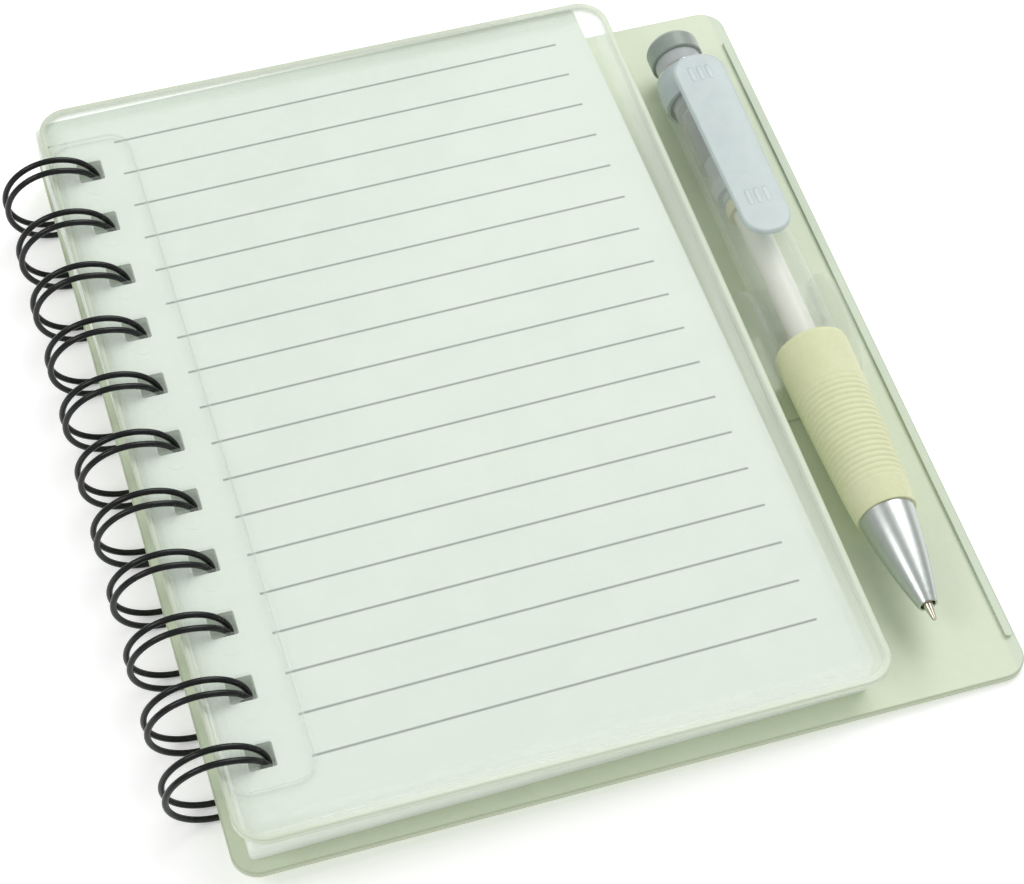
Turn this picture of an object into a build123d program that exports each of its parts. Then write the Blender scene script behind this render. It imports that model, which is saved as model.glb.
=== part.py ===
from build123d import *
import os
from math import asin, cos, degrees, radians, sin

# Pocket notebook, wire bound, with a clear front cover, a wide back cover and a click pen
# held in a clear cradle beside the pages.
# Millimetres. +Z up, +Y to the head of the page, +X away from the binding.
# The origin is the middle of the back cover's underside.

# ---- driving dimensions -------------------------------------------------------------
# covers and leaves: width along X, height along Y, thickness along Z
back_width, back_height, back_thick = 136.8, 158.0, 1.5
back_corner = 4.5
front_left, front_right = -67.5, 43.3
front_height, front_centre_y = 158.0, 0.2
front_bottom, front_thick = 10.3, 1.3
front_corner = 5.5
margin_step = 0.3            # how much thinner the back cover is under the loops
edge_round = 0.35

leaf_width, leaf_height = 106.0, 153.8
leaf_x, leaf_y = -13.8, 1.3  # middle of the leaves
leaf_askew = 0.95            # degrees the leaves lie askew between the covers
lower_top = 9.25             # top of the leaves that stay on the back cover
upper_bottom, upper_top = 9.3, 10.15
upper_left = -66.6           # binding edge of the leaves that turn
sheet_thick = 0.1            # the ruled first leaf on top of them

# binding: twin-loop wire at 12.7 mm pitch (2 loops to the inch)
pitch = 12.7
loop_count = 11
row_y = 0.2                  # middle of the row of holes
front_hole_x, front_hole_width = -60.55, 4.7
leaf_hole_x, leaf_hole_width = -60.2, 4.6
hole_height = 4.6
loop_x, loop_z = -67.6, 5.1  # middle of the loops, which is also the turning line
loop_radius = 8.8            # to the middle of the wire
wire_radius = 0.55
leg_spread = 1.36            # each leg's distance from the loop's middle plane
tip_spread = 0.75            # the same at the closed tip
seam_z = back_thick + wire_radius + 0.05

# binding panel sunk in the front cover
panel_left, panel_right = -66.7, -52.0
panel_top, panel_end = 70.6, -69.8
panel_depth, panel_corner = 0.35, 4.0
mark_radius, mark_depth = 1.6, 0.12

# pen, lying along Y: stations are distances along Y, radii are about its axis
pen_x, pen_z = 53.4, 9.25
cap_top, cap_under = 66.0, 60.9
collar_top, collar_end = 57.0, 50.0
barrel_start = 56.05
grip_top, grip_end = -10.9, -47.6
barrel_end = -51.5
nose_end, ball_end = -66.2, -69.4
cap_radius, neck_radius, collar_radius = 5.1, 4.45, 6.0
barrel_radius, barrel_bore = 6.0, 4.7
grip_core_radius = 4.6
nose_top_radius, nose_end_radius = 5.0, 1.7
refill_radius, refill_start = 2.6, 22.0
point_radius = 1.15

# pen clip
clip_top_y, clip_end_y = 54.7, 10.2
clip_width_top, clip_width_end = 10.2, 9.0
clip_thick = 1.3
clip_under_z = pen_z + 7.6

# pen cradle on the back cover
cradle_y = -4.9
base_thick, base_start, base_end = 0.6, 9.7, -19.5
ear_radius, ear_thick, ear_gap = 12.7, 1.2, 7.05

os.makedirs("parts", exist_ok=True)

pen_axis = Axis((pen_x, 0, pen_z), (0, 1, 0))
# drawings of the pen's turned parts: local x is the radius, local y is the station
pen_plane = Plane(origin=(pen_x, 0, pen_z), x_dir=(1, 0, 0), z_dir=(0, 0, 1))


def save(block, name):
    """Label a finished piece and write its STEP file."""
    block.part.label = name
    export_step(block.part, f"parts/{name}.step")


def turned_face(*stations):
    """Closed (radius, station) outline on the sketch in hand."""
    Polygon(*stations, align=None)


def hole_row(x, width, height, mode):
    """One rounded rectangle for each loop of the binding, on the sketch in hand."""
    with Locations((x, row_y)):
        with GridLocations(pitch, pitch, 1, loop_count):
            RectangleRounded(width, height, 0.4, mode=mode)


def leaf_outline(left_limit):
    """A leaf lying askew, trimmed at its binding edge, with its row of punched holes."""
    with Locations((leaf_x, leaf_y)):
        RectangleRounded(leaf_width, leaf_height, 1.0, rotation=leaf_askew)
    with Locations((left_limit + 100, 0)):
        Rectangle(200, 300, mode=Mode.INTERSECT)
    hole_row(leaf_hole_x, leaf_hole_width, hole_height, Mode.SUBTRACT)


# ---- covers and leaves ---------------------------------------------------------------
with BuildPart() as back_cover:
    with BuildSketch():
        RectangleRounded(back_width, back_height, back_corner)
    extrude(amount=back_thick)
    fillet(back_cover.edges().group_by(Axis.Z)[-1], edge_round)
    fillet(back_cover.edges().group_by(Axis.Z)[0], edge_round)
    # low bead along the free long edge
    with BuildSketch(Plane.XY.offset(back_thick - 0.2)):
        with Locations((back_width / 2 - 1.3, -0.8)):
            SlotOverall(142.0, 1.2, rotation=90)
    extrude(amount=0.9)
    with BuildSketch():
        hole_row(leaf_hole_x, leaf_hole_width, hole_height, Mode.ADD)
    extrude(amount=back_thick, mode=Mode.SUBTRACT)
    # the binding margin is thinned underneath, out to the edge, where the loops pass
    with BuildSketch():
        with Locations((-back_width / 2, 0)):
            Rectangle(2 * (back_width / 2 + panel_right), back_height + 2.0)
    extrude(amount=margin_step, mode=Mode.SUBTRACT)
save(back_cover, "back_cover")

groove_width, groove_height = 1.7, 1.4
with BuildPart() as lower_leaves:
    with BuildSketch(Plane.XY.offset(back_thick)):
        leaf_outline(-90.0)
    extrude(amount=lower_top - back_thick)
    # the lowest leaves ride over the wire's crossbars
    with BuildSketch(Plane.XY.offset(back_thick)):
        with Locations((loop_x + loop_radius - 0.53, row_y)):
            Rectangle(groove_width, loop_count * pitch - 4.0)
    extrude(amount=groove_height, mode=Mode.SUBTRACT)
save(lower_leaves, "lower_leaves")

with BuildPart() as upper_leaves:
    with BuildSketch(Plane.XY.offset(upper_bottom)):
        leaf_outline(upper_left)
    extrude(amount=upper_top - upper_bottom)
save(upper_leaves, "upper_leaves")

with BuildPart() as first_leaf:
    with BuildSketch(Plane.XY.offset(upper_top)):
        leaf_outline(upper_left)
    extrude(amount=sheet_thick)
save(first_leaf, "first_leaf")

front_top = front_bottom + front_thick
with BuildPart() as front_cover:
    with BuildSketch(Plane.XY.offset(front_bottom)):
        with Locations(((front_left + front_right) / 2, front_centre_y)):
            RectangleRounded(front_right - front_left, front_height, front_corner)
    extrude(amount=front_thick)
    fillet(front_cover.edges().group_by(Axis.Z)[-1], edge_round)
    # sunk binding panel with round free corners
    with BuildSketch(Plane.XY.offset(front_top)) as panel:
        with Locations(((panel_left + panel_right) / 2, (panel_top + panel_end) / 2)):
            Rectangle(panel_right - panel_left, panel_top - panel_end)
        fillet(panel.vertices().group_by(Axis.X)[-1], panel_corner)
    extrude(amount=-panel_depth, mode=Mode.SUBTRACT)
    # moulding marks below the holes and one at the middle of the panel
    with BuildSketch(Plane.XY.offset(front_top - panel_depth)):
        with Locations((front_hole_x + 0.4, row_y - 4.9)):
            with GridLocations(pitch, pitch, 1, loop_count):
                Circle(mark_radius)
        with Locations((panel_right - 2.6, 1.0)):
            Circle(mark_radius)
    extrude(amount=-mark_depth, mode=Mode.SUBTRACT)
    with BuildSketch(Plane.XY.offset(front_bottom)):
        hole_row(front_hole_x, front_hole_width, hole_height, Mode.ADD)
    extrude(amount=front_thick, mode=Mode.SUBTRACT)
save(front_cover, "front_cover")

# ---- binding wire --------------------------------------------------------------------
# Each loop lies round an axis along Y. Its two legs leave the crossbars at the seam, go
# under the covers, round the back and over the top, and close in to the tip.
seam_angle = degrees(asin((seam_z - loop_z) / loop_radius))
taper_angle = 80.0           # the legs start to close in here, counted up from +X
tip_angle = seam_angle + 12.0
knee = 0.9                   # radius of the bend from crossbar to leg


def on_loop(angle, y):
    """Point on the loop's circle at an angle from +X towards +Z."""
    return (loop_x + loop_radius * cos(radians(angle)), y, loop_z + loop_radius * sin(radians(angle)))


def along_loop(angle, sense):
    """Direction round the loop at that angle: sense 1 is anticlockwise from +X."""
    return (-sense * sin(radians(angle)), 0, sense * cos(radians(angle)))


def wire_loop(middle_y, bar_start, bar_end):
    """One loop with the crossbar halves that lead to its neighbours."""
    foot = seam_angle - degrees(knee / loop_radius)
    first, second = middle_y + leg_spread, middle_y - leg_spread
    tip_first, tip_second = middle_y + tip_spread, middle_y - tip_spread
    tip_low = tip_angle - degrees(tip_spread / loop_radius)
    with BuildPart() as loop:
        with BuildLine() as path:
            Line(on_loop(seam_angle, bar_start), on_loop(seam_angle, first + knee))
            Spline(
                on_loop(seam_angle, first + knee), on_loop(foot, first),
                tangents=[(0, -1, 0), along_loop(foot, -1)],
            )
            ThreePointArc(on_loop(foot, first), on_loop(-140, first), on_loop(taper_angle, first))
            Spline(
                on_loop(taper_angle, first), on_loop(tip_angle, tip_first),
                tangents=[along_loop(taper_angle, -1), along_loop(tip_angle, -1)],
            )
            ThreePointArc(on_loop(tip_angle, tip_first), on_loop(tip_low, middle_y), on_loop(tip_angle, tip_second))
            Spline(
                on_loop(tip_angle, tip_second), on_loop(taper_angle, second),
                tangents=[along_loop(tip_angle, 1), along_loop(taper_angle, 1)],
            )
            ThreePointArc(on_loop(taper_angle, second), on_loop(-140, second), on_loop(foot, second))
            Spline(
                on_loop(foot, second), on_loop(seam_angle, second - knee),
                tangents=[along_loop(foot, 1), (0, -1, 0)],
            )
            Line(on_loop(seam_angle, second - knee), on_loop(seam_angle, bar_end))
        with BuildSketch(Plane(origin=path.line @ 0, z_dir=path.line % 0)):
            Circle(wire_radius)
        sweep(path=path.line)
    return loop


loops = []
for index in range(loop_count):
    middle = row_y + (loop_count - 1) * pitch / 2 - index * pitch
    bar_start = leg_spread + 2.2 if index == 0 else pitch / 2 - 0.08
    bar_end = leg_spread + 2.2 if index == loop_count - 1 else pitch / 2 - 0.08
    loops.append(wire_loop(middle, middle + bar_start, middle - bar_end))
with BuildPart() as binding_wire:
    for loop in loops:
        add(loop.part)
save(binding_wire, "binding_wire")

# ---- pen cradle ----------------------------------------------------------------------
with BuildPart() as pen_cradle:
    with BuildSketch(Plane.XY.offset(back_thick)):
        with Locations((pen_x, (base_start + base_end) / 2)):
            RectangleRounded(2 * (ear_gap + ear_thick), base_start - base_end, 1.2)
    extrude(amount=base_thick)
    # two half-round ears stand on the base, one each side of the pen
    for side in (-1, 1):
        face_x = pen_x + side * (ear_gap + ear_thick / 2)
        ear_plane = Plane(origin=(face_x, cradle_y, back_thick), x_dir=(0, 1, 0), z_dir=(1, 0, 0))
        with BuildSketch(ear_plane):
            Circle(ear_radius)
            with Locations((0, -ear_radius)):
                Rectangle(3 * ear_radius, 2 * ear_radius, mode=Mode.SUBTRACT)
        extrude(amount=ear_thick / 2, both=True)
save(pen_cradle, "pen_cradle")

# ---- pen: what stays with the barrel ---------------------------------------------------
front_bore = refill_radius + 0.4
spigot_radius = 5.25
with BuildPart() as pen_barrel:
    with BuildSketch(pen_plane):
        turned_face(
            (barrel_bore, barrel_start), (spigot_radius, barrel_start), (spigot_radius, collar_end - 0.05),
            (barrel_radius, collar_end - 0.05), (barrel_radius, grip_top + 0.05),
            (grip_core_radius, grip_top + 0.05), (grip_core_radius, grip_end + 0.05),
            (3.9, grip_end + 0.05), (3.9, barrel_end), (front_bore, barrel_end),
            (front_bore, grip_top + 2.0), (barrel_bore, grip_top + 4.5),
        )
    revolve(axis=pen_axis)
save(pen_barrel, "pen_barrel")

with BuildPart() as grip_sleeve:
    with BuildSketch(pen_plane):
        with BuildLine():
            Line((grip_core_radius + 0.02, grip_end), (5.45, grip_end))
            Spline((5.45, grip_end), (5.9, -42.0), (6.3, -33.0), (6.65, -22.0), (6.85, grip_top - 0.8))
            Line((6.85, grip_top - 0.8), (6.55, grip_top))
            Line((6.55, grip_top), (grip_core_radius + 0.02, grip_top))
            Line((grip_core_radius + 0.02, grip_top), (grip_core_radius + 0.02, grip_end))
        make_face()
    revolve(axis=pen_axis)
save(grip_sleeve, "grip_sleeve")

nose_bore, tip_bore = 2.55, 1.35
with BuildPart() as nose_cone:
    with BuildSketch(pen_plane):
        with BuildLine():
            Line((3.95, grip_end - 0.02), (nose_top_radius, grip_end - 0.02))
            Spline(
                (nose_top_radius, grip_end - 0.02), (4.35, -53.0), (3.05, -60.5), (nose_end_radius, nose_end),
            )
            Polyline(
                (nose_end_radius, nose_end), (tip_bore, nose_end), (tip_bore, -62.0), (nose_bore, -56.4),
                (nose_bore, -53.5), (front_bore, -52.5), (front_bore, barrel_end - 0.05),
                (3.95, barrel_end - 0.05), (3.95, grip_end - 0.02),
            )
        make_face()
    revolve(axis=pen_axis)
save(nose_cone, "nose_cone")

collar_bore = spigot_radius + 0.02
mouth = neck_radius + 0.1
with BuildPart() as clip_collar:
    with BuildSketch(pen_plane):
        with BuildLine():
            Line((collar_bore, collar_end), (collar_radius - 0.1, collar_end))
            Spline((collar_radius - 0.1, collar_end), (collar_radius, 51.5), (5.75, 56.4))
            Polyline(
                (5.75, 56.4), (5.3, collar_top), (mouth, collar_top), (mouth, barrel_start + 0.03),
                (collar_bore, barrel_start + 0.03), (collar_bore, collar_end),
            )
        make_face()
    revolve(axis=pen_axis)
    # the stem that carries the clip
    with BuildSketch(Plane.XY.offset(pen_z + 5.5)):
        with Locations((pen_x, 53.2)):
            RectangleRounded(5.0, 4.4, 0.8)
    extrude(amount=clip_under_z - pen_z - 5.5 - 0.02)
save(clip_collar, "clip_collar")

with BuildPart() as end_ring:
    with BuildSketch(pen_plane):
        turned_face(
            (mouth, collar_top + 0.02), (5.15, collar_top + 0.02), (5.15, collar_top + 0.6),
            (4.95, collar_top + 0.85), (mouth, collar_top + 0.85),
        )
    revolve(axis=pen_axis)
save(end_ring, "end_ring")

sleeve_start, sleeve_end, sleeve_bore = 46.0, 35.0, 3.75
with BuildPart() as cam_sleeve:
    with BuildSketch(pen_plane):
        turned_face(
            (sleeve_bore, sleeve_start), (barrel_bore - 0.02, sleeve_start),
            (barrel_bore - 0.02, sleeve_end), (sleeve_bore, sleeve_end),
        )
    revolve(axis=pen_axis)
save(cam_sleeve, "cam_sleeve")

spring_start, spring_length = -49.5, 6.6
spring_wire, spring_radius, spring_coils = 0.18, 2.15, 6
with BuildPart() as return_spring:
    with BuildLine() as coil:
        Helix(
            pitch=spring_length / spring_coils, height=spring_length, radius=spring_radius,
            center=(pen_x, spring_start, pen_z), direction=(0, -1, 0),
        )
    with BuildSketch(Plane(origin=coil.line @ 0, z_dir=coil.line % 0)):
        Circle(spring_wire)
    sweep(path=coil.line)
save(return_spring, "return_spring")

# ---- pen: clip blade -----------------------------------------------------------------
half_top, half_end = clip_width_top / 2, clip_width_end / 2
end_round = 3.0
with BuildPart() as pen_clip:
    with BuildSketch(Plane.XY.offset(clip_under_z)) as blade:
        with BuildLine():
            Polyline(
                (pen_x - half_top, clip_top_y), (pen_x + half_top, clip_top_y),
                (pen_x + half_end, clip_end_y), (pen_x - half_end, clip_end_y), close=True,
            )
        make_face()
        fillet(blade.vertices(), end_round)
    extrude(amount=clip_thick)
    fillet(pen_clip.edges().group_by(Axis.Z)[-1], 0.45)
    # gripping pad under the free end
    with BuildSketch(Plane.XY.offset(clip_under_z)):
        with Locations((pen_x, clip_end_y + 5.0)):
            SlotOverall(6.0, 2.6)
    extrude(amount=-1.15)
save(pen_clip, "pen_clip")

# ---- pen: what the button moves --------------------------------------------------------
plug_radius = neck_radius - 0.5
with BuildPart() as push_button:
    with BuildSketch(pen_plane):
        with BuildLine():
            Line((0, cap_top), (2.0, cap_top))
            Spline((2.0, cap_top), (4.3, cap_top - 0.5), (cap_radius, cap_top - 1.6))
            Polyline(
                (cap_radius, cap_top - 1.6), (cap_radius, cap_under + 0.2), (cap_radius - 0.2, cap_under),
                (neck_radius + 0.02, cap_under), (neck_radius + 0.02, cap_under + 1.6),
                (plug_radius, cap_under + 1.6), (plug_radius, cap_under + 2.2), (0, cap_under + 2.2), (0, cap_top),
            )
        make_face()
    revolve(axis=pen_axis)
save(push_button, "push_button")

plunger_end, shaft_radius = 36.0, 3.62
with BuildPart() as plunger:
    with BuildSketch(pen_plane):
        turned_face(
            (0, cap_under + 2.15), (plug_radius - 0.05, cap_under + 2.15),
            (plug_radius - 0.05, cap_under + 1.55), (neck_radius, cap_under + 1.55),
            (neck_radius, 48.5), (shaft_radius, 47.6), (shaft_radius, plunger_end), (2.2, plunger_end),
            (2.2, cap_under - 3.0), (0, cap_under - 3.0),
        )
    revolve(axis=pen_axis)
save(plunger, "plunger")

with BuildPart() as cam_rotor:
    with BuildSketch(pen_plane):
        turned_face(
            (0, plunger_end - 0.05), (shaft_radius, plunger_end - 0.05), (shaft_radius, 30.2),
            (4.3, 29.4), (4.3, 26.5), (3.2, 26.5), (3.2, 25.0), (0, 25.0),
        )
    revolve(axis=pen_axis)
save(cam_rotor, "cam_rotor")

# ---- pen: refill -----------------------------------------------------------------------
shoulder, neck_end = -48.0, -53.0
with BuildPart() as refill_plug:
    with BuildSketch(pen_plane):
        turned_face(
            (0, 24.95), (3.1, 24.95), (3.5, 24.0), (3.5, refill_start), (2.0, refill_start),
            (2.0, refill_start - 3.0), (0, refill_start - 3.0),
        )
    revolve(axis=pen_axis)
save(refill_plug, "refill_plug")

with BuildPart() as refill_tube:
    with BuildSketch(pen_plane):
        turned_face(
            (2.05, refill_start - 0.02), (refill_radius, refill_start - 0.02), (refill_radius, shoulder),
            (1.75, shoulder), (1.75, neck_end), (0.9, neck_end), (0.9, shoulder + 1.5),
            (2.05, shoulder + 2.5),
        )
    revolve(axis=pen_axis)
save(refill_tube, "refill_tube")

with BuildPart() as ink_column:
    with BuildSketch(pen_plane):
        turned_face(
            (0, 6.0), (2.0, 6.0), (2.0, shoulder + 2.6), (0.85, shoulder + 1.5), (0, shoulder + 1.5),
        )
    revolve(axis=pen_axis)
save(ink_column, "ink_column")

with BuildPart() as refill_point:
    with BuildSketch(pen_plane):
        turned_face(
            (0, neck_end + 3.0), (0.85, neck_end + 3.0), (0.85, neck_end - 0.03),
            (point_radius, neck_end - 0.03), (point_radius, nose_end + 0.6), (0.9, nose_end + 0.1),
            (0.4, ball_end + 0.45), (0.3, ball_end + 0.5), (0, ball_end + 0.8),
        )
    revolve(axis=pen_axis)
save(refill_point, "refill_point")

ball_radius = 0.35
with BuildPart() as writing_ball:
    with Locations((pen_x, ball_end + ball_radius, pen_z)):
        Sphere(ball_radius)
save(writing_ball, "writing_ball")
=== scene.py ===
import math

import bpy
import numpy as np
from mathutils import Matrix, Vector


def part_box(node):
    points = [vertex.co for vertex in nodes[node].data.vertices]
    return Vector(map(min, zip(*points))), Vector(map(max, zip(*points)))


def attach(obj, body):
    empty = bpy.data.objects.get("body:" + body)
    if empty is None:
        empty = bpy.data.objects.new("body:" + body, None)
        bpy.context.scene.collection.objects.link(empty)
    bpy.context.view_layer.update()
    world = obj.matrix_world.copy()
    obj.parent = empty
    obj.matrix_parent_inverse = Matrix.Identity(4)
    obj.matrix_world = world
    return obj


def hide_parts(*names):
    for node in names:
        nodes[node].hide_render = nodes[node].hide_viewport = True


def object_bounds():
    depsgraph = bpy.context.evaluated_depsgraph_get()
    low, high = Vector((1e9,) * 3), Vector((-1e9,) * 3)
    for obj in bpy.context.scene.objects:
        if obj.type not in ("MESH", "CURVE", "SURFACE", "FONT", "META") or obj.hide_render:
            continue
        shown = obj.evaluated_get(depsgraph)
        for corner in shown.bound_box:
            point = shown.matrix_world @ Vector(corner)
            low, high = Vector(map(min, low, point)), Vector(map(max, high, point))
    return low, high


# Wire-bound pocket notebook with a clear cover and a click pen. Metres, in the part's frame.

MM = 0.001

# corner radii of the two covers, and of the binding panel sunk in the front one
FRONT_CORNER, BACK_CORNER, PANEL_CORNER = 5.5 * MM, 4.5 * MM, 4.0 * MM
PANEL_MIDDLE, PANEL_HALF = (-59.35 * MM, 0.4 * MM, 0.0), (7.35 * MM, 70.2 * MM, 0.0)

# printed rules, placed from a point beside the uppermost hole and turned with the askew leaf
LEAF_ASKEW = math.radians(0.95)
RULES_START = (-60.1 * MM, 61.9 * MM, 0.0)
RULE_FIRST, RULE_PITCH, RULE_WIDTH, RULE_LINES = 7.49 * MM, 7.943 * MM, 0.30 * MM, 18.0
RULE_LEFT, RULE_RIGHT = 5.65 * MM, 92.2 * MM
SHEET_PITCH = 0.32 * MM

# cradle: base plate, and the two ears that stand on it
CRADLE_BASE, CRADLE_CORNER, CRADLE_LIFT = 0.6 * MM, 1.2 * MM, 0.03 * MM
EAR_INNER, EAR_OUTER, EAR_FOOT, EAR_Y = 7.05 * MM, 8.25 * MM, 0.65 * MM, -4.9 * MM

# pen clip
CLIP_THICK, CLIP_HALF_WIDTH, CLIP_CORNER, CLIP_TAPER = 1.3 * MM, 4.8 * MM, 4.3 * MM, 0.055
PAD_HALF_WIDTH, PAD_HALF_LENGTH, PAD_CORNER, PAD_Y = 3.0 * MM, 1.3 * MM, 1.25 * MM, 5.0 * MM

CREAM = (0.665, 0.745, 0.56)

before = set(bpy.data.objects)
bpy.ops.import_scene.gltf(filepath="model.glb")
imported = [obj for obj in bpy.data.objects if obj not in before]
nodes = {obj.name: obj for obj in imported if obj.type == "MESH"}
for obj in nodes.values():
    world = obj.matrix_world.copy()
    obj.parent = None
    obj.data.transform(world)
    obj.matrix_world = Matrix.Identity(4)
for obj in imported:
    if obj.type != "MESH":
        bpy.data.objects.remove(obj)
cad_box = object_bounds()

# ---- camera ---------------------------------------------------------------------------
camera_data = bpy.data.cameras.new("camera")
camera_data.lens = 96.93
camera_data.sensor_width = 36.0
camera_data.clip_start = 0.02
camera_data.clip_end = 20.0
camera = bpy.data.objects.new("camera", camera_data)
camera.location = (-0.09525, -0.27432, 0.39812)
camera.rotation_euler = tuple(math.radians(turn) for turn in (35.2194, -1.6337, -17.2015))
bpy.context.scene.collection.objects.link(camera)
bpy.context.scene.camera = camera
bpy.context.scene.view_settings.view_transform = "Standard"


# ---- node helpers ---------------------------------------------------------------------
def add_node(tree, kind, **settings):
    """A node with its plain properties set; a key such as in_2 sets that input socket's value."""
    node = tree.nodes.new(kind)
    for key, value in settings.items():
        if key.startswith("in_"):
            node.inputs[int(key[3:])].default_value = value
        else:
            setattr(node, key, value)
    return node


def join(tree, start, end):
    """Link an output socket to an input socket."""
    tree.links.new(start, end)


def colour_of(shader):
    """The socket that feeds the shader's Base Color so far."""
    return shader.inputs["Base Color"].links[0].from_socket


def maths(tree, operation, first, second=None, third=None, clamp=False):
    """Output of a math node; each operand is a socket or a number."""
    node = add_node(tree, "ShaderNodeMath", operation=operation, use_clamp=clamp)
    for index, operand in enumerate((first, second, third)):
        if operand is None:
            continue
        if isinstance(operand, (int, float)):
            node.inputs[index].default_value = operand
        else:
            join(tree, operand, node.inputs[index])
    return node.outputs[0]


def blend_colour(tree, mask, first, second):
    """Mix of two colours by a mask; each colour is a socket or three numbers."""
    node = add_node(tree, "ShaderNodeMix", data_type="RGBA")
    join(tree, mask, node.inputs["Factor"])
    for name, colour in (("A", first), ("B", second)):
        socket = [s for s in node.inputs if s.name == name and s.type == "RGBA"][0]
        if isinstance(colour, tuple):
            socket.default_value = (*colour, 1.0)
        else:
            join(tree, colour, socket)
    return [s for s in node.outputs if s.type == "RGBA"][0]


def smooth_step(tree, value, low, high):
    """0 below low, 1 above high, smooth between."""
    node = add_node(tree, "ShaderNodeMapRange", interpolation_type="SMOOTHSTEP")
    join(tree, value, node.inputs["Value"])
    node.inputs["From Min"].default_value = low
    node.inputs["From Max"].default_value = high
    return node.outputs["Result"]


def new_group(name, inputs, outputs):
    """Shader node group with named sockets: (tree, its given sockets, its made sockets)."""
    tree = bpy.data.node_groups.new(name, "ShaderNodeTree")
    for label, kind, value in inputs:
        socket = tree.interface.new_socket(label, in_out="INPUT", socket_type=kind)
        if value is not None:
            socket.default_value = value
    for label, kind in outputs:
        tree.interface.new_socket(label, in_out="OUTPUT", socket_type=kind)
    return tree, tree.nodes.new("NodeGroupInput").outputs, tree.nodes.new("NodeGroupOutput").inputs


FLOAT, VECTOR = "NodeSocketFloat", "NodeSocketVector"


def grain_group():
    """Uneven grain: the mean of a fine and a coarse noise, and the fine one alone as a height."""
    tree, given, made = new_group(
        "grain",
        [("Place", VECTOR, None), ("Scale", FLOAT, 600.0)],
        [("Value", FLOAT), ("Height", FLOAT)],
    )
    fine = add_node(tree, "ShaderNodeTexNoise")
    coarse = add_node(tree, "ShaderNodeTexNoise")
    for node, factor in ((fine, 1.0), (coarse, 0.12)):
        join(tree, given["Place"], node.inputs["Vector"])
        join(tree, maths(tree, "MULTIPLY", given["Scale"], factor), node.inputs["Scale"])
        node.inputs["Detail"].default_value = 3.0
    half_coarse = maths(tree, "MULTIPLY", coarse.outputs["Fac"], 0.5)
    mixed = maths(tree, "MULTIPLY_ADD", fine.outputs["Fac"], 0.5, half_coarse)
    join(tree, mixed, made["Value"])
    join(tree, fine.outputs["Fac"], made["Height"])
    return tree


def outline_group():
    """Signed distance, in metres, from a rounded rectangle in X and Y: negative inside it."""
    tree, given, made = new_group(
        "outline",
        [
            ("Place", VECTOR, None),
            ("Middle", VECTOR, (0, 0, 0)),
            ("Half", VECTOR, (0.05, 0.05, 0)),
            ("Radius", FLOAT, 0.005),
        ],
        [("Distance", FLOAT)],
    )
    away = add_node(tree, "ShaderNodeVectorMath", operation="SUBTRACT")
    join(tree, given["Place"], away.inputs[0])
    join(tree, given["Middle"], away.inputs[1])
    parts = add_node(tree, "ShaderNodeSeparateXYZ")
    join(tree, away.outputs[0], parts.inputs[0])
    halves = add_node(tree, "ShaderNodeSeparateXYZ")
    join(tree, given["Half"], halves.inputs[0])
    reach = []
    for axis in ("X", "Y"):
        size = maths(tree, "ABSOLUTE", parts.outputs[axis])
        inner = maths(tree, "SUBTRACT", halves.outputs[axis], given["Radius"])
        reach.append(maths(tree, "SUBTRACT", size, inner))
    clipped = [maths(tree, "MAXIMUM", value, 0.0) for value in reach]
    square_y = maths(tree, "MULTIPLY", clipped[1], clipped[1])
    squares = maths(tree, "MULTIPLY_ADD", clipped[0], clipped[0], square_y)
    inside = maths(tree, "MINIMUM", maths(tree, "MAXIMUM", reach[0], reach[1]), 0.0)
    length = maths(tree, "ADD", maths(tree, "SQRT", squares), inside)
    join(tree, maths(tree, "SUBTRACT", length, given["Radius"]), made["Distance"])
    return tree


def rules_group():
    """Printed rules: 1 on a line, 0 off it. Place is given turned with the leaf, so the lines
    repeat down Y between two margins in X."""
    tree, given, made = new_group(
        "rules",
        [
            ("Place", VECTOR, None),
            ("First", FLOAT, 0.0),
            ("Pitch", FLOAT, 0.008),
            ("Left", FLOAT, 0.0),
            ("Right", FLOAT, 0.1),
            ("Width", FLOAT, 0.0003),
            ("Lines", FLOAT, 18.0),
        ],
        [("Mask", FLOAT)],
    )
    parts = add_node(tree, "ShaderNodeSeparateXYZ")
    join(tree, given["Place"], parts.inputs[0])
    below = maths(tree, "SUBTRACT", given["First"], parts.outputs["Y"])
    down = maths(tree, "DIVIDE", below, given["Pitch"])
    nearest = maths(tree, "ROUND", down)
    off = maths(tree, "ABSOLUTE", maths(tree, "SUBTRACT", down, nearest))
    off = maths(tree, "MULTIPLY", off, given["Pitch"])
    line = maths(tree, "SUBTRACT", 1.0, maths(tree, "DIVIDE", off, given["Width"]), clamp=True)
    last = maths(tree, "SUBTRACT", given["Lines"], 0.5)
    limits = [
        maths(tree, "GREATER_THAN", nearest, -0.5),
        maths(tree, "LESS_THAN", nearest, last),
        maths(tree, "GREATER_THAN", parts.outputs["X"], given["Left"]),
        maths(tree, "LESS_THAN", parts.outputs["X"], given["Right"]),
    ]
    counted = maths(tree, "MULTIPLY", limits[0], limits[1])
    span = maths(tree, "MULTIPLY", limits[2], limits[3])
    sharp = maths(tree, "POWER", line, 0.6)
    join(tree, maths(tree, "MULTIPLY", sharp, maths(tree, "MULTIPLY", counted, span)), made["Mask"])
    return tree


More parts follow.
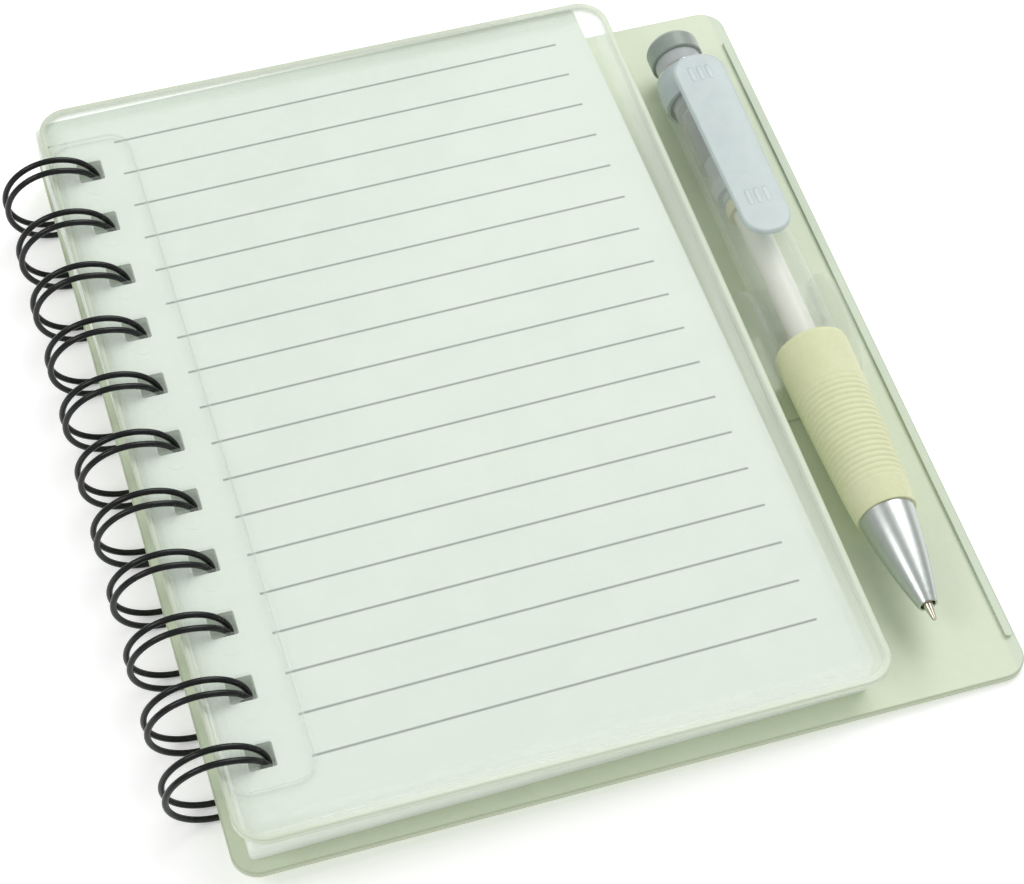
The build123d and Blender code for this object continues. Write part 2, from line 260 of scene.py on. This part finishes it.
def layers_group():
    """Edges of a block of leaves: thin dark lines across Z, painted shade in the gaps between the
    sheets, broken up along the block.
    """
    tree, given, made = new_group(
        "layers",
        [("Place", VECTOR, None), ("Pitch", FLOAT, 0.0003)],
        [("Gap", FLOAT), ("Height", FLOAT)],
    )
    wander = add_node(tree, "ShaderNodeTexNoise", in_2=60.0)
    join(tree, given["Place"], wander.inputs["Vector"])
    parts = add_node(tree, "ShaderNodeSeparateXYZ")
    join(tree, given["Place"], parts.inputs[0])
    steps = maths(tree, "ADD", maths(tree, "DIVIDE", parts.outputs["Z"], given["Pitch"]),
                  maths(tree, "MULTIPLY", wander.outputs["Fac"], 2.2))
    wave = maths(tree, "PINGPONG", steps, 0.5)
    gap = maths(tree, "SUBTRACT", 1.0, maths(tree, "MULTIPLY", wave, 5.0), clamp=True)
    squashed = add_node(tree, "ShaderNodeVectorMath", operation="MULTIPLY")
    squashed.inputs[1].default_value = (1.0, 1.0, 40.0)
    join(tree, given["Place"], squashed.inputs[0])
    broken = add_node(tree, "ShaderNodeTexNoise", in_2=90.0)
    join(tree, squashed.outputs[0], broken.inputs["Vector"])
    kept = smooth_step(tree, broken.outputs["Fac"], 0.42, 0.62)
    join(tree, maths(tree, "MULTIPLY", gap, kept), made["Gap"])
    join(tree, wave, made["Height"])
    return tree


GRAIN, OUTLINE, RULES, LAYERS = grain_group(), outline_group(), rules_group(), layers_group()


def place_group(tree, group, place, **values):
    """Outputs of a group placed in a material, fed with coordinates and its own values."""
    node = tree.nodes.new("ShaderNodeGroup")
    node.node_tree = group
    join(tree, place, node.inputs["Place"])
    for name, value in values.items():
        node.inputs[name].default_value = value
    return node.outputs


def start_material(name, colour, roughness, metallic=0.0, **plain):
    """Principled material: (material, tree, shader, Object coordinates)."""
    material = bpy.data.materials.new(name)
    material.use_nodes = True
    tree = material.node_tree
    shader = tree.nodes["Principled BSDF"]
    shader.inputs["Base Color"].default_value = (*colour, 1.0)
    shader.inputs["Roughness"].default_value = roughness
    shader.inputs["Metallic"].default_value = metallic
    for label, value in plain.items():
        shader.inputs[label.replace("_", " ")].default_value = value
    place = add_node(tree, "ShaderNodeTexCoord").outputs["Object"]
    return material, tree, shader, place


def bump(tree, shader, height, strength, distance):
    """Raise the surface's shading by a height socket."""
    node = add_node(tree, "ShaderNodeBump")
    node.inputs["Strength"].default_value = strength
    node.inputs["Distance"].default_value = distance
    join(tree, height, node.inputs["Height"])
    join(tree, node.outputs["Normal"], shader.inputs["Normal"])


def grained(name, colour, second, roughness, scale, height, **plain):
    """A plain finish with fine grain in colour, roughness and height."""
    spread = 0.06
    material, tree, shader, place = start_material(name, colour, roughness, **plain)
    grain = place_group(tree, GRAIN, place, Scale=scale)
    mask = smooth_step(tree, grain["Value"], 0.35, 0.65)
    join(tree, blend_colour(tree, mask, colour, second), shader.inputs["Base Color"])
    uneven = maths(tree, "MULTIPLY_ADD", mask, spread, roughness - spread / 2, clamp=True)
    join(tree, uneven, shader.inputs["Roughness"])
    bump(tree, shader, grain["Height"], 0.35, height)
    return material, tree, shader, place


def see_through(
    name, colour, second, roughness, body, rim, scale=500.0, height=0.00001, **plain
):
    """Clear or milky plastic: alpha is body face on and rises to rim where it is seen edge on."""
    material, tree, shader, place = grained(name, colour, second, roughness, scale, height, **plain)
    facing = add_node(tree, "ShaderNodeLayerWeight", in_0=0.35)
    rise = maths(tree, "POWER", facing.outputs["Facing"], 2.0)
    alpha = maths(tree, "MULTIPLY_ADD", rise, rim - body, body, clamp=True)
    join(tree, alpha, shader.inputs["Alpha"])
    return material, tree, shader, place, alpha


def extent(name):
    """(middle, half size) of a CAD node in X and Y."""
    low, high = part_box(name)
    middle = (low + high) / 2
    half = (high - low) / 2
    return (middle.x, middle.y, 0.0), (half.x, half.y, 0.0)


# ---- materials ------------------------------------------------------------------------
def clear_cover():
    """Clear moulded sheet: faintly milky, with a green-grey rim and shaded lines round the sunk
    binding panel."""
    material, tree, shader, place, alpha = see_through(
        "clear_cover", (0.82, 0.89, 0.81), (0.86, 0.92, 0.85), 0.14, 0.07, 0.34,
        scale=240.0, height=0.000012, IOR=1.49, Coat_Weight=0.3,
    )
    middle, half = extent("front_cover")
    edge = place_group(
        tree, OUTLINE, place, Middle=middle, Half=half, Radius=FRONT_CORNER
    )["Distance"]
    rim = smooth_step(tree, edge, -1.7 * MM, -0.5 * MM)
    band = maths(tree, "MULTIPLY", smooth_step(tree, edge, -5.0 * MM, -2.5 * MM), 0.16)
    panel = place_group(
        tree, OUTLINE, place, Middle=PANEL_MIDDLE, Half=PANEL_HALF, Radius=PANEL_CORNER
    )["Distance"]
    off_wall = maths(tree, "DIVIDE", maths(tree, "ABSOLUTE", panel), 0.55 * MM)
    near_wall = maths(tree, "SUBTRACT", 1.0, off_wall, clamp=True)
    rim_part = maths(tree, "MULTIPLY", rim, 0.55)
    extra = maths(tree, "ADD", rim_part, maths(tree, "MULTIPLY", near_wall, 0.22))
    total = maths(tree, "ADD", alpha, maths(tree, "ADD", extra, band), clamp=True)
    join(tree, total, shader.inputs["Alpha"])
    tinted = blend_colour(tree, rim, colour_of(shader), (0.70, 0.77, 0.615))
    shade = maths(tree, "MULTIPLY", near_wall, 0.5)
    shaded = blend_colour(tree, shade, tinted, (0.60, 0.68, 0.61))
    join(tree, shaded, shader.inputs["Base Color"])
    return material


def ruled_paper():
    """White paper with grey printed rules and a faint fibre grain."""
    material, tree, shader, place = grained(
        "ruled_paper", (0.80, 0.875, 0.79), (0.83, 0.90, 0.815), 0.75, 900.0, 0.00001
    )
    shift = add_node(tree, "ShaderNodeVectorMath", operation="SUBTRACT")
    shift.inputs[1].default_value = RULES_START
    join(tree, place, shift.inputs[0])
    turned = add_node(tree, "ShaderNodeVectorRotate", rotation_type="Z_AXIS")
    turned.inputs["Angle"].default_value = -LEAF_ASKEW
    join(tree, shift.outputs[0], turned.inputs["Vector"])
    rules = place_group(
        tree, RULES, turned.outputs[0], First=RULE_FIRST, Pitch=RULE_PITCH, Left=RULE_LEFT,
        Right=RULE_RIGHT, Width=RULE_WIDTH, Lines=RULE_LINES,
    )["Mask"]
    faint = maths(tree, "MULTIPLY", rules, 0.8)
    printed = blend_colour(tree, faint, colour_of(shader), (0.10, 0.125, 0.11))
    join(tree, printed, shader.inputs["Base Color"])
    return material


def leaf_block():
    """Stacked leaves: white, with thin grey painted shade in the gaps between the sheets on their
    upright edges, and a weak painted glow (emission) for light spread in the paper."""
    material, tree, shader, place = start_material(
        "leaf_block", (0.76, 0.81, 0.74), 0.8,
        Emission_Color=(0.80, 0.87, 0.78, 1.0), Emission_Strength=0.09,
    )
    layers = place_group(tree, LAYERS, place, Pitch=SHEET_PITCH)
    facing = add_node(tree, "ShaderNodeSeparateXYZ")
    join(tree, add_node(tree, "ShaderNodeTexCoord").outputs["Normal"], facing.inputs[0])
    sides = maths(tree, "LESS_THAN", maths(tree, "ABSOLUTE", facing.outputs["Z"]), 0.5)
    grain = place_group(tree, GRAIN, place, Scale=700.0)
    white = blend_colour(tree, grain["Value"], (0.80, 0.87, 0.78), (0.86, 0.91, 0.84))
    # painted shade: the gaps between the sheets darken the upright edges
    sheet_gap_shade = maths(tree, "MULTIPLY", maths(tree, "MULTIPLY", layers["Gap"], 0.6), sides)
    join(tree, blend_colour(tree, sheet_gap_shade, white, (0.42, 0.46, 0.40)), shader.inputs["Base Color"])
    bump(tree, shader, maths(tree, "MULTIPLY", layers["Height"], sides), 0.4, 0.00006)
    return material


def cream_cover():
    """Matt cream moulding: a darker olive line along its edge, and a cooler, darker band of painted
    shade at the bead.
    """
    material, tree, shader, place = grained(
        "cream_cover", CREAM, (0.695, 0.77, 0.59), 0.4, 420.0, 0.00002, Coat_Weight=0.1
    )
    middle, half = extent("back_cover")
    edge = place_group(
        tree, OUTLINE, place, Middle=middle, Half=half, Radius=BACK_CORNER
    )["Distance"]
    rim = smooth_step(tree, edge, -0.45 * MM, -0.1 * MM)
    dark = maths(tree, "MULTIPLY", rim, 0.55)
    edged = blend_colour(tree, dark, colour_of(shader), (0.42, 0.47, 0.31))
    parts = add_node(tree, "ShaderNodeSeparateXYZ")
    join(tree, place, parts.inputs[0])
    # painted shade: a cooler, darker band along the bead at the right edge
    bead_shade_band = smooth_step(tree, parts.outputs["X"], half[0] - 2.6 * MM, half[0] - 1.8 * MM)
    bead_shade = maths(tree, "MULTIPLY", bead_shade_band, 0.45)
    bead_shaded = blend_colour(tree, bead_shade, edged, (0.56, 0.655, 0.55))
    join(tree, bead_shaded, shader.inputs["Base Color"])
    return material


def ribbed_rubber():
    """Soft cream rubber with a dusty, slightly mottled surface."""
    return grained(
        "cream_grip", (0.70, 0.735, 0.44), (0.745, 0.78, 0.50), 0.62, 900.0, 0.00003,
        Sheen_Weight=0.15,
    )[0]


def brushed(name, colour, second, roughness, along):
    """Turned metal: fine rings round the pen's axis."""
    material, tree, shader, place = start_material(name, colour, roughness, 1.0)
    stretched = add_node(tree, "ShaderNodeVectorMath", operation="MULTIPLY")
    stretched.inputs[1].default_value = (0.04, 1.0, 0.04)
    join(tree, place, stretched.inputs[0])
    lines = add_node(tree, "ShaderNodeTexNoise", in_2=along)
    join(tree, stretched.outputs[0], lines.inputs["Vector"])
    mask = smooth_step(tree, lines.outputs["Fac"], 0.35, 0.65)
    join(tree, blend_colour(tree, mask, colour, second), shader.inputs["Base Color"])
    uneven = maths(tree, "MULTIPLY_ADD", mask, 0.08, roughness - 0.04)
    join(tree, uneven, shader.inputs["Roughness"])
    bump(tree, shader, lines.outputs["Fac"], 0.15, 0.00001)
    return material


def enamelled_wire():
    """Gloss black enamel over wire, a little uneven."""
    return grained(
        "black_wire", (0.004, 0.005, 0.005), (0.009, 0.010, 0.010), 0.24, 1500.0, 0.00001,
        Specular_IOR_Level=0.3, Coat_Weight=0.1, Coat_Roughness=0.1,
    )[0]


def blue_plastic(name="blue_plastic", reliefs=()):
    """Pale blue translucent moulding, with small bumped bars at the given (X, Y) places that carry
    a painted highlight.
    """
    material, tree, shader, place, _ = see_through(
        name, (0.58, 0.68, 0.675), (0.63, 0.725, 0.715), 0.2, 0.7, 0.92,
        scale=350.0, Coat_Weight=0.4, Coat_Roughness=0.1,
    )
    raised = None
    for x, y in reliefs:
        bar = place_group(
            tree, OUTLINE, place, Middle=(x, y, 0.0), Half=(0.42 * MM, 1.7 * MM, 0.0),
            Radius=0.4 * MM,
        )["Distance"]
        mask = smooth_step(tree, maths(tree, "MULTIPLY", bar, -1.0), -0.25 * MM, 0.2 * MM)
        raised = mask if raised is None else maths(tree, "MAXIMUM", raised, mask)
    if raised is not None:
        # painted highlight: the bars are painted paler, as where they catch the light
        bar_highlight = maths(tree, "MULTIPLY", raised, 0.6)
        bar_highlighted = blend_colour(tree, bar_highlight, colour_of(shader), (0.72, 0.80, 0.81))
        join(tree, bar_highlighted, shader.inputs["Base Color"])
        bump(tree, shader, raised, 0.6, 0.0002)
    return material


def clear_cradle():
    """Clear moulding whose base plate reads as the cream cover that it is laid on."""
    material, tree, shader, place, alpha = see_through(
        "clear_cradle", (0.78, 0.85, 0.78), (0.82, 0.88, 0.81), 0.1, 0.07, 0.4, Coat_Weight=0.5
    )
    parts = add_node(tree, "ShaderNodeSeparateXYZ")
    join(tree, place, parts.inputs[0])
    base_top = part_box("pen_cradle")[0].z + CRADLE_BASE
    ears = smooth_step(tree, parts.outputs["Z"], base_top + 0.01 * MM, base_top + 0.06 * MM)
    laid = maths(tree, "SUBTRACT", 1.0, ears)
    join(tree, maths(tree, "MAXIMUM", alpha, laid), shader.inputs["Alpha"])
    join(tree, blend_colour(tree, laid, colour_of(shader), CREAM), shader.inputs["Base Color"])
    return material


def clip_reliefs():
    """Places of three bars near each end of the clip."""
    low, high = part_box("pen_clip")
    middle = (low.x + high.x) / 2
    stations = (high.y - 5.0 * MM, low.y + 8.5 * MM)
    return [(middle + shift * MM, y) for y in stations for shift in (-1.7, 0.0, 1.7)]


FINISHES = {
    "front_cover": clear_cover(),
    "first_leaf": ruled_paper(),
    "upper_leaves": leaf_block(),
    "back_cover": cream_cover(),
    "binding_wire": enamelled_wire(),
    "pen_cradle": clear_cradle(),
    "pen_barrel": see_through(
        "clear_barrel", (0.74, 0.79, 0.70), (0.78, 0.83, 0.74), 0.08, 0.08, 0.62, Coat_Weight=0.6
    )[0],
    "nose_cone": brushed("satin_metal", (0.56, 0.60, 0.575), (0.585, 0.625, 0.60), 0.33, 9000.0),
    "pen_clip": blue_plastic("clip_plastic", clip_reliefs()),
    "clip_collar": blue_plastic(),
    "end_ring": brushed("bright_metal", (0.62, 0.64, 0.60), (0.7, 0.71, 0.68), 0.16, 6000.0),
    "push_button": grained(
        "grey_cap", (0.255, 0.31, 0.27), (0.29, 0.345, 0.305), 0.34, 800.0, 0.00002, Coat_Weight=0.2
    )[0],
    "plunger": see_through(
        "frosted_plastic", (0.68, 0.74, 0.74), (0.74, 0.79, 0.79), 0.4, 0.55, 0.9
    )[0],
    "refill_plug": grained(
        "cream_plug", (0.72, 0.71, 0.50), (0.77, 0.76, 0.56), 0.4, 800.0, 0.00002
    )[0],
    "refill_tube": see_through(
        "white_tube", (0.90, 0.93, 0.82), (0.93, 0.95, 0.87), 0.3, 0.9, 0.98
    )[0],
    "ink_column": grained(
        "ink", (0.012, 0.012, 0.03), (0.02, 0.02, 0.045), 0.3, 900.0, 0.00001
    )[0],
    "refill_point": brushed("brass_point", (0.56, 0.53, 0.42), (0.64, 0.61, 0.5), 0.2, 9000.0),
    "return_spring": brushed("spring_steel", (0.5, 0.51, 0.5), (0.6, 0.61, 0.6), 0.25, 9000.0),
    "grip_sleeve": ribbed_rubber(),
}
for name, like in (
    ("lower_leaves", "upper_leaves"),
    ("cam_sleeve", "pen_barrel"),
    ("cam_rotor", "plunger"),
    ("writing_ball", "end_ring"),
):
    FINISHES[name] = FINISHES[like]
for name, node in nodes.items():
    node.data.materials.clear()
    node.data.materials.append(FINISHES[name])


# ---- pieces ---------------------------------------------------------------------------
def shell(points, closed_rows=False, capped=False):
    """(vertices, faces) of a grid of points (rows, columns, xyz), closed round its columns, wound
    so that its enclosed volume is positive. The first and last rows can be capped."""
    rows, columns = points.shape[:2]
    index = np.arange(rows * columns).reshape(rows, columns)
    ring = np.concatenate([index, index[:, :1]], axis=1)
    if closed_rows:
        ring = np.concatenate([ring, ring[:1]], axis=0)
    corners = [ring[:-1, :-1], ring[:-1, 1:], ring[1:, 1:], ring[1:, :-1]]
    faces = np.stack(corners, axis=-1).reshape(-1, 4).tolist()
    if capped:
        faces += [index[0][::-1].tolist(), index[-1].tolist()]
    vertices = points.reshape(-1, 3)
    middle = vertices.mean(axis=0)
    volume = 0.0
    for face in faces:
        fan = vertices[face] - middle
        volume += float((np.cross(fan[1:-1], fan[2:]) @ fan[0]).sum())
    return vertices, faces if volume > 0 else [face[::-1] for face in faces]


def piece(name, shells, body, node):
    """One smooth mesh of the given shells, in place of a CAD node and with its finish."""
    vertices, faces, count = [], [], 0
    for points, own_faces in shells:
        vertices.append(points)
        faces += [[corner + count for corner in face] for face in own_faces]
        count += len(points)
    mesh = bpy.data.meshes.new(name)
    mesh.from_pydata(np.concatenate(vertices).tolist(), [], faces)
    mesh.polygons.foreach_set("use_smooth", np.array([len(face) == 4 for face in faces]))
    mesh.materials.append(FINISHES[node])
    mesh.update()
    made = bpy.data.objects.new(name, mesh)
    bpy.context.scene.collection.objects.link(made)
    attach(made, body)
    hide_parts(node)


def rounded_outline(half_width, half_length, radius, taper=0.0, steps=16):
    """Points of a rectangle with quarter-circle corners; its half width changes by taper times
    the distance along it."""
    turn = np.linspace(0, np.pi / 2, steps)
    across, along = [], []
    for quarter, (side, end) in enumerate(((1, 1), (-1, 1), (-1, -1), (1, -1))):
        angle = turn + quarter * np.pi / 2
        across.append(side * (half_width - radius) + radius * np.cos(angle))
        along.append(end * (half_length - radius) + radius * np.sin(angle))
    across, along = np.concatenate(across), np.concatenate(along)
    return np.stack([across * (1 + taper * along / half_length), along], axis=1)


def slab(outline, low_face, high_face, rounding, steps=7):
    """A plate of the given outline with both edges of its rim rounded: at each angle the outline
    shrinks towards its middle by rounding x (1 - cosine), and the height moves from its face by
    rounding x sine. Rows of (across, along, up)."""
    angle = np.linspace(-np.pi / 2, np.pi / 2, 2 * steps)
    shrink = rounding * (1 - np.cos(angle))
    face = np.where(angle < 0, low_face + rounding, high_face - rounding)
    height = face + rounding * np.sin(angle)
    middle = outline.mean(axis=0)
    away = outline - middle
    reach = np.abs(away).max(axis=0)
    rows = middle + away * (1 - shrink[:, None, None] / reach)
    up = np.broadcast_to(height[:, None, None], rows.shape[:2] + (1,))
    return np.concatenate([rows, up], axis=2)


barrel_low, barrel_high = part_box("pen_barrel")
PEN_X = (barrel_low.x + barrel_high.x) / 2
PEN_Z = (barrel_low.z + barrel_high.z) / 2


def revolve(profile, sides):
    """Points of a closed (radius, station) profile turned about the pen's axis."""
    angle = np.linspace(0, 2 * np.pi, sides, endpoint=False)
    radius, station = profile[:, :1], profile[:, 1:2]
    x, z = PEN_X + radius * np.cos(angle), PEN_Z + radius * np.sin(angle)
    return np.stack([x, station + 0 * angle, z], axis=-1)


def ribbed_grip():
    """Sleeve whose radius runs straight between set stations, less a row of shallow grooves:
    depth x (half of 1 + cosine) raised to a power, fading in and out at each end."""
    low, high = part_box("grip_sleeve")
    bottom, top, gap = low.y, high.y, 0.05 * MM
    station = np.linspace(bottom + gap, top - gap, 520)
    known = np.array([bottom, -42 * MM, -33 * MM, -22 * MM, top - 0.9 * MM, top])
    radii = np.array([5.42, 5.88, 6.28, 6.62, 6.80, 6.62]) * MM
    radius = np.interp(station, known, radii)
    pitch, depth = 1.12 * MM, 0.16 * MM
    fade_in = np.clip((station - (bottom + 4.0 * MM)) / (3.0 * MM), 0, 1)
    fade_out = np.clip((top - 9.0 * MM - station) / (4.0 * MM), 0, 1)
    fade = fade_in * fade_out
    groove = (0.5 + 0.5 * np.cos(2 * np.pi * station / pitch)) ** 1.5
    outer = np.stack([radius - depth * fade * groove, station], axis=1)
    inner_radius = 4.62 * MM
    inner = np.array([[inner_radius, top - gap], [inner_radius, bottom + gap]])
    turned = revolve(np.concatenate([outer, inner]), 96)
    piece("ribbed_grip", [shell(turned, closed_rows=True)], "pen", "grip_sleeve")


def eared_cradle():
    """Base plate with half-round ears: each ear's outline is a circular arc closed by its chord,
    and every rim is rounded. The base stands a hair clear of the cover under it."""
    low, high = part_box("pen_cradle")
    middle_x, middle_y = (low.x + high.x) / 2, (low.y + high.y) / 2
    plate = rounded_outline((high.x - low.x) / 2, (high.y - low.y) / 2, CRADLE_CORNER)
    base = slab(plate, low.z + CRADLE_LIFT, low.z + CRADLE_BASE, 0.12 * MM)
    shells = [shell(base + np.array([middle_x, middle_y, 0.0]), capped=True)]
    radius = high.z - low.z
    start = math.asin(EAR_FOOT / radius)
    angle = np.linspace(start, np.pi - start, 72)
    chord = np.linspace(-1, 1, 26)[1:-1] * radius * math.cos(start)
    arc = np.stack([radius * np.cos(angle), radius * np.sin(angle)], axis=1)
    foot = np.stack([chord, np.full(len(chord), EAR_FOOT)], axis=1)
    outline = np.concatenate([arc, foot])
    for side in (-1, 1):
        faces = sorted((middle_x + side * EAR_INNER, middle_x + side * EAR_OUTER))
        ear = slab(outline, faces[0], faces[1], 0.3 * MM)
        placed = np.stack([ear[..., 2], ear[..., 0] + EAR_Y, ear[..., 1] + low.z], axis=2)
        shells.append(shell(placed, capped=True))
    piece("eared_cradle", shells, "book", "pen_cradle")


def round_ended_clip():
    """Blade with nearly half-round ends that narrows to its free end, a rounded rim, and a small
    gripping pad under the free end."""
    low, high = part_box("pen_clip")
    middle_x, middle_y = (low.x + high.x) / 2, (low.y + high.y) / 2
    half_length = (high.y - low.y) / 2
    tapered = rounded_outline(CLIP_HALF_WIDTH, half_length, CLIP_CORNER, taper=CLIP_TAPER)
    blade = slab(tapered, high.z - CLIP_THICK, high.z, 0.5 * MM)
    pad_outline = rounded_outline(PAD_HALF_WIDTH, PAD_HALF_LENGTH, PAD_CORNER)
    pad = slab(pad_outline, low.z, high.z - CLIP_THICK - 0.02 * MM, 0.25 * MM)
    shells = [
        shell(blade + np.array([middle_x, middle_y, 0.0]), capped=True),
        shell(pad + np.array([middle_x, low.y + PAD_Y, 0.0]), capped=True),
    ]
    piece("round_ended_clip", shells, "clip", "pen_clip")


ribbed_grip()
eared_cradle()
round_ended_clip()

# ---- stage ----------------------------------------------------------------------------
# the floor is tipped to meet the loops at one side and the back cover's free edge at the other
wire_low, wire_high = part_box("binding_wire")
wire_middle = (wire_low.x + wire_high.x) / 2
far_edge = cad_box[1].x
slope = -wire_low.z / (far_edge - wire_middle)
FLOOR_REACH, FLOOR_GAP = 3.0, 0.0001
floor_mesh = bpy.data.meshes.new("floor")
corners = np.array([[-1, -1], [1, -1], [1, 1], [-1, 1]]) * FLOOR_REACH
height = (corners[:, :1] - far_edge) * slope - FLOOR_GAP
floor_mesh.from_pydata(np.concatenate([corners, height], axis=1).tolist(), [], [(0, 1, 2, 3)])
floor = bpy.data.objects.new("floor", floor_mesh)
bpy.context.scene.collection.objects.link(floor)
pale_floor = start_material(
    "floor", (0.93, 0.93, 0.93), 0.9, Emission_Color=(1.0, 1.0, 1.0, 1.0), Emission_Strength=0.3
)[0]
floor_mesh.materials.append(pale_floor)


def soft_box(name, location, size, power):
    """Square area light aimed at the origin."""
    light = bpy.data.lights.new(name, "AREA")
    light.size = size
    light.energy = power
    lamp = bpy.data.objects.new(name, light)
    lamp.location = location
    away = np.array(location)
    distance = float(np.linalg.norm(away))
    tilt, heading = math.acos(away[2] / distance), math.atan2(away[1], away[0]) + math.pi / 2
    lamp.rotation_euler = (tilt, 0.0, heading)
    bpy.context.scene.collection.objects.link(lamp)


soft_box("key", (0.45, 0.40, 0.75), 0.75, 4.7)
soft_box("fill", (-0.60, -0.05, 0.70), 0.35, 1.6)

world = bpy.data.worlds.new("world")
bpy.context.scene.world = world
world.use_nodes = True
background = world.node_tree.nodes["Background"]
background.inputs["Color"].default_value = (1.0, 1.0, 1.0, 1.0)
background.inputs["Strength"].default_value = 0.50
